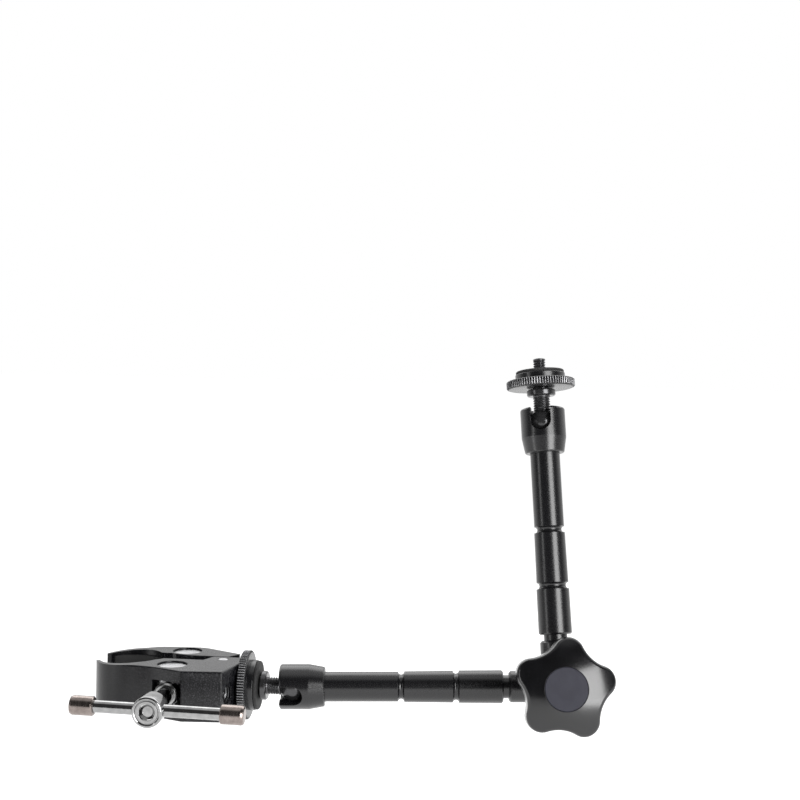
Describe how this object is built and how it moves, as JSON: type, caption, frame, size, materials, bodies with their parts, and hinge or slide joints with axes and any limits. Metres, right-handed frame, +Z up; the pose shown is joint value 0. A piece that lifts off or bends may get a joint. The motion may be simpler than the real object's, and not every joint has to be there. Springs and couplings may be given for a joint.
{
  "type": "articulating friction arm",
  "caption": "Black friction arm with a pole clamp and T-handle screw, grooved tubes, an elbow with a star knob, ball sockets and a camera screw.",
  "frame": {"origin": "on the axis of the clamped pole, at the clamp's mid height", "axes": "+Z up along the pole, +X from the pole through the clamp's hinge pin towards the arm, -Y towards the T-handle"},
  "size_m": [0.2622, 0.0989, 0.1882],
  "materials": {
    "powder_coat": "satin black powder coat",
    "black_anodised": "semi-gloss black anodised",
    "black_steel": "blackened, semi-gloss",
    "plain_steel": "turned, bright",
    "chrome": "polished",
    "nickel": "warm satin nickel",
    "grip_rubber": "matte",
    "friction_fibre": "matte",
    "knob_plastic": "glossy moulded",
    "cap_plastic": "matte slate grey",
    "brass_insert": "turned"
  },
  "bodies": {
    "front_clamp": {"front_jaw": "powder_coat", "front_jaw_pad": "grip_rubber", "hinge_pin": "plain_steel", "lower_stud": "black_steel", "lower_stud_nut": "black_steel"},
    "rear_clamp": {"rear_jaw": "powder_coat", "rear_jaw_pad": "grip_rubber"},
    "front_swivel": {"front_trunnion": "plain_steel"},
    "rear_swivel": {"rear_trunnion": "plain_steel"},
    "screw": {"clamp_screw": "chrome", "screw_collar": "chrome"},
    "handle": {"tee_bar": "chrome", "tee_cap_left": "nickel", "tee_cap_right": "nickel"},
    "lower_wheel": {"lower_lock_wheel": "black_anodised", "lower_wheel_pad": "grip_rubber"},
    "lower_ball_part": {"lower_ball": "black_steel"},
    "lower_cup": {"lower_ball_seat": "plain_steel"},
    "lower_arm": {"lower_socket": "black_anodised", "lower_tube": "black_anodised", "lower_push_rod": "plain_steel", "lower_elbow_half": "black_anodised", "elbow_disc": "friction_fibre", "elbow_bolt": "black_steel"},
    "upper_arm": {"upper_socket": "black_anodised", "upper_tube": "black_anodised", "upper_push_rod": "plain_steel", "upper_elbow_half": "black_anodised", "elbow_washer": "plain_steel"},
    "star_knob": {"knob": "knob_plastic", "knob_insert": "brass_insert", "knob_cap": "cap_plastic"},
    "upper_cup": {"upper_ball_seat": "plain_steel"},
    "upper_ball_part": {"upper_ball": "black_steel"},
    "camera_stud": {"upper_stud": "black_steel", "upper_stud_nut": "black_steel"},
    "upper_wheel": {"upper_lock_wheel": "black_anodised", "upper_wheel_pad": "grip_rubber"}
  },
  "joints": [
    {"name": "jaw_pivot", "type": "hinge", "parent": "front_clamp", "child": "rear_clamp", "pos_m": [0.048, 0, 0], "axis": [0, 0, -1], "range_deg": [-8.1, 14.1]},
    {"name": "front_trunnion_swivel", "type": "hinge", "parent": "front_clamp", "child": "front_swivel", "pos_m": [0.0255, -0.0158, 0], "axis": [0, 0, -1], "range_deg": [-4.1, 7.1]},
    {"name": "rear_trunnion_swivel", "type": "hinge", "parent": "rear_clamp", "child": "rear_swivel", "pos_m": [0.0255, 0.0158, 0], "axis": [0, 0, -1], "range_deg": [-7.1, 4.1]},
    {"name": "screw_turn", "type": "hinge", "parent": "front_swivel", "child": "screw", "pos_m": [0.0255, -0.0158, 0], "axis": [0, -1, 0], "range_deg": [-904.8, 1583.4]},
    {"name": "handle_slide", "type": "slide", "parent": "screw", "child": "handle", "axis": [0.9998, 0, -0.0175], "range_m": [-0.02665, 0.01945]},
    {"name": "lower_wheel_turn", "type": "hinge", "parent": "front_clamp", "child": "lower_wheel", "pos_m": [0.085, 0, 0], "axis": [-1, 0, 0], "continuous": true},
    {"name": "lower_ball_turn", "type": "hinge", "parent": "front_clamp", "child": "lower_ball_part", "pos_m": [0.085, 0, 0], "axis": [1, 0, 0], "continuous": true},
    {"name": "lower_slot_tilt", "type": "hinge", "parent": "lower_ball_part", "child": "lower_cup", "pos_m": [0.085, 0, 0], "axis": [0, 0.2597, -0.9657], "range_deg": [-4.03, 84.97]},
    {"name": "lower_cross_tilt", "type": "hinge", "parent": "lower_cup", "child": "lower_arm", "pos_m": [0.085, 0, 0], "axis": [-0.0867, 0.962, 0.2588], "range_deg": [-8.99, 9.01]},
    {"name": "elbow_hinge", "type": "hinge", "parent": "lower_arm", "child": "upper_arm", "pos_m": [0.2175, 0.01113, 0.00302], "axis": [0.0768, -0.9733, 0.2164], "range_deg": [-225, 50]},
    {"name": "knob_turn", "type": "hinge", "parent": "lower_arm", "child": "star_knob", "pos_m": [0.2175, 0.01113, 0.00302], "axis": [0.0768, -0.9733, 0.2164], "continuous": true},
    {"name": "upper_cross_tilt", "type": "hinge", "parent": "upper_arm", "child": "upper_cup", "pos_m": [0.20892, 0.01576, 0.13781], "axis": [-0.1315, -0.9711, 0.1992], "range_deg": [-9, 9]},
    {"name": "upper_slot_tilt", "type": "hinge", "parent": "upper_cup", "child": "upper_ball_part", "pos_m": [0.20892, 0.01576, 0.13781], "axis": [0.9882, -0.1126, 0.1038], "range_deg": [-11.9, 77.1]},
    {"name": "upper_ball_turn", "type": "hinge", "parent": "upper_ball_part", "child": "camera_stud", "pos_m": [0.20892, 0.01576, 0.13781], "axis": [-0.085, 0.1611, 0.9833], "continuous": true},
    {"name": "upper_wheel_turn", "type": "hinge", "parent": "camera_stud", "child": "upper_wheel", "pos_m": [0.20892, 0.01576, 0.13781], "axis": [-0.085, 0.1611, 0.9833], "continuous": true}
  ],
  "couplings": [
    {"joint": "jaw_pivot", "follows": "screw_turn", "ratio": 0.0088419},
    {"joint": "front_trunnion_swivel", "follows": "screw_turn", "ratio": 0.004421},
    {"joint": "rear_trunnion_swivel", "follows": "screw_turn", "ratio": -0.004421}
  ]
}
